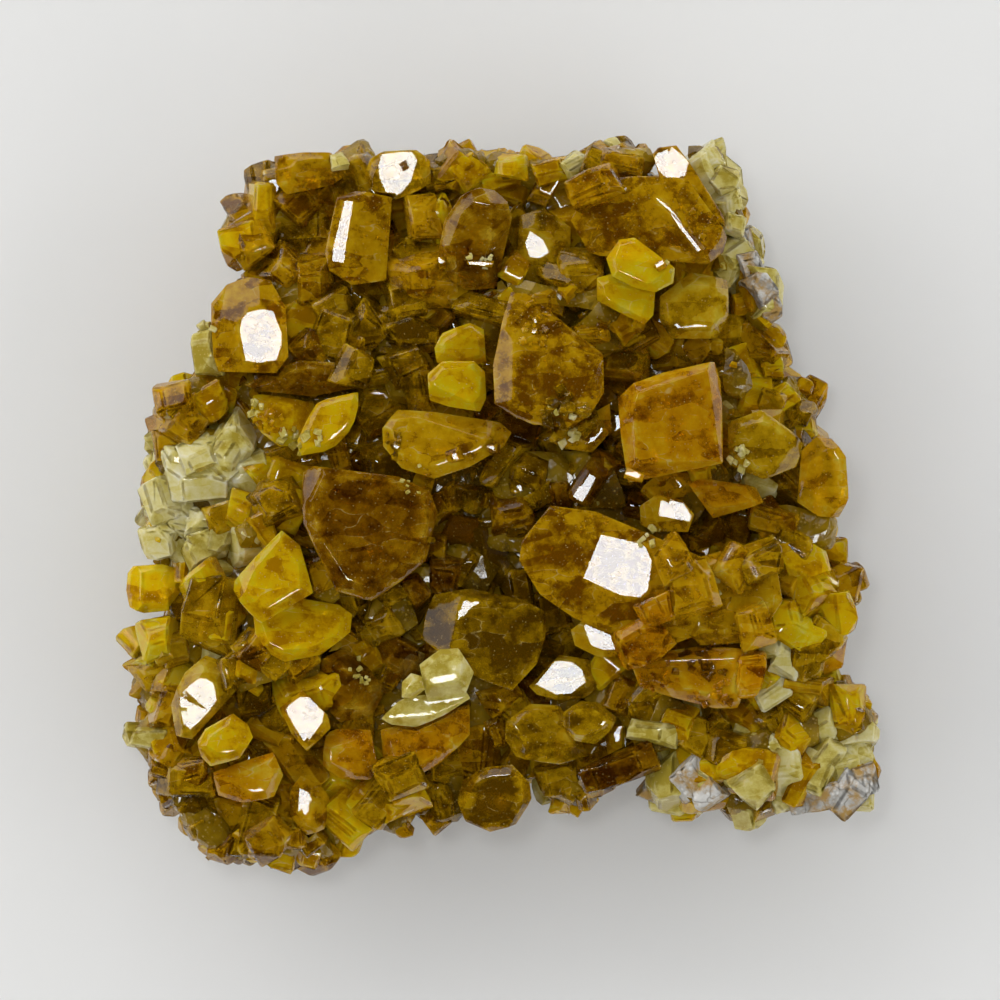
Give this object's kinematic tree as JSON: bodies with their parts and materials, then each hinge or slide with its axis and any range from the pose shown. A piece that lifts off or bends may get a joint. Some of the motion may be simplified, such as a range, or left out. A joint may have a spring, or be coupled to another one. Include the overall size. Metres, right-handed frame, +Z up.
{
  "type": "barite specimen",
  "caption": "Mineral specimen: stubby amber and yellow barite crystals standing on a crust of small crystals over grey-white host rock, with a flat cut underside.",
  "frame": {"origin": "middle of the specimen's outline in plan, on the flat cut underside that it rests on", "axes": "+Z up, away from the surface it rests on, towards the crystals; +X across and +Y up the picture, so that the broad edge with the pale corner is at -Y"},
  "size_m": [0.0754, 0.0728, 0.024],
  "materials": {
    "amber_crystal": "clear to cloudy amber crystal, flat glossy faces",
    "orange_crystal": "orange-amber crystal, glossy faces with veils",
    "dark_crystal": "deep brown-amber crystal, glossy faces",
    "olive_crystal": "olive-amber crystal, glossy faces",
    "yellow_crystal": "clear bright yellow crystal, glossy faces",
    "pale_crystal": "milky pale yellow-green crystal",
    "crust_crystal": "yellow to olive and cream small crystals, glossy",
    "host_rock": "grey-white broken matrix rock, matt"
  },
  "bodies": {
    "root": {"amber_tabular_crystal": "orange_crystal", "amber_tip_crystal": "orange_crystal", "amber_wedge": "amber_crystal", "banded_twin": "amber_crystal", "big_dark_crystal": "dark_crystal", "bright_yellow_pair": "yellow_crystal", "brown_crystal": "dark_crystal", "centre_block": "dark_crystal", "corner_block": "amber_crystal", "corner_white_face_crystal": "amber_crystal", "crescent_crystal": "olive_crystal", "dark_arc_crystal": "dark_crystal", "dark_dome_crystal": "dark_crystal", "glassy_yellow_crystal": "yellow_crystal", "grey_faced_olive_crystal": "olive_crystal", "grey_irregular_face_crystal": "olive_crystal", "hero_prism": "amber_crystal", "hexagonal_crystal": "olive_crystal", "leaf_crystal": "yellow_crystal", "left_projecting_crystal": "yellow_crystal", "left_white_face_crystal": "amber_crystal", "lower_amber_block": "orange_crystal", "olive_block": "olive_crystal", "olive_brown_block": "olive_crystal", "orange_rounded_crystal": "orange_crystal", "pale_green_crystal": "pale_crystal", "right_amber_crystal": "orange_crystal", "right_edge_crystal": "amber_crystal", "right_orange_block": "orange_crystal", "ring_faced_crystal": "olive_crystal", "rough_orange_crystal": "orange_crystal", "strip_crystal": "amber_crystal", "teardrop_face_crystal": "olive_crystal", "upper_left_prism": "amber_crystal", "upper_right_block": "amber_crystal", "white_irregular_crystal": "amber_crystal", "white_pitted_face_crystal": "olive_crystal", "yellow_pointed_cluster": "yellow_crystal", "yellow_rim_crystal": "yellow_crystal", "small_crystal_crust": "crust_crystal", "host_rock": "host_rock"}
  },
  "joints": []
}
